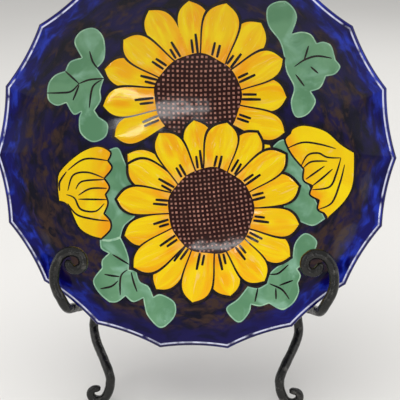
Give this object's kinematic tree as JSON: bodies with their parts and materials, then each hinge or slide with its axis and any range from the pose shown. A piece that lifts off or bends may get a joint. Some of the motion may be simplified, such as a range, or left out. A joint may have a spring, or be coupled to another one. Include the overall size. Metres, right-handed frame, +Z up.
{
  "type": "decorative dish on easel stand",
  "caption": "Shallow round glazed dish with a scalloped rim and painted sunflowers, leaning on a folding wrought-iron easel with scroll hooks and scroll feet.",
  "frame": {"origin": "on the table under the middle of the whole object's box", "axes": "+X to the right as the dish is seen from the front, +Y to the back, +Z up; the dish faces -Y"},
  "size_m": [0.305, 0.2065, 0.3574],
  "materials": {
    "glaze": "gloss",
    "black_iron": "satin",
    "bare_steel": "satin"
  },
  "bodies": {
    "easel": {"left_rail": "black_iron", "right_rail": "black_iron", "left_hook": "black_iron", "right_hook": "black_iron", "lower_crossbar": "black_iron", "upper_crossbar": "black_iron", "hinge_clevis": "black_iron", "hinge_washers": "bare_steel", "hinge_rivet": "bare_steel"},
    "rear_leg": {"back_leg": "black_iron"},
    "dish": {"plate": "glaze"}
  },
  "joints": [
    {"name": "leg_fold", "type": "hinge", "parent": "easel", "child": "rear_leg", "pos_m": [0, 0.01785, 0.23253], "axis": [-1, 0, 0], "range_deg": [0, 30]},
    {"name": "dish_lift", "type": "slide", "parent": "easel", "child": "dish", "axis": [0, 0.2079, 0.9781], "range_m": [0, 0.1]}
  ]
}
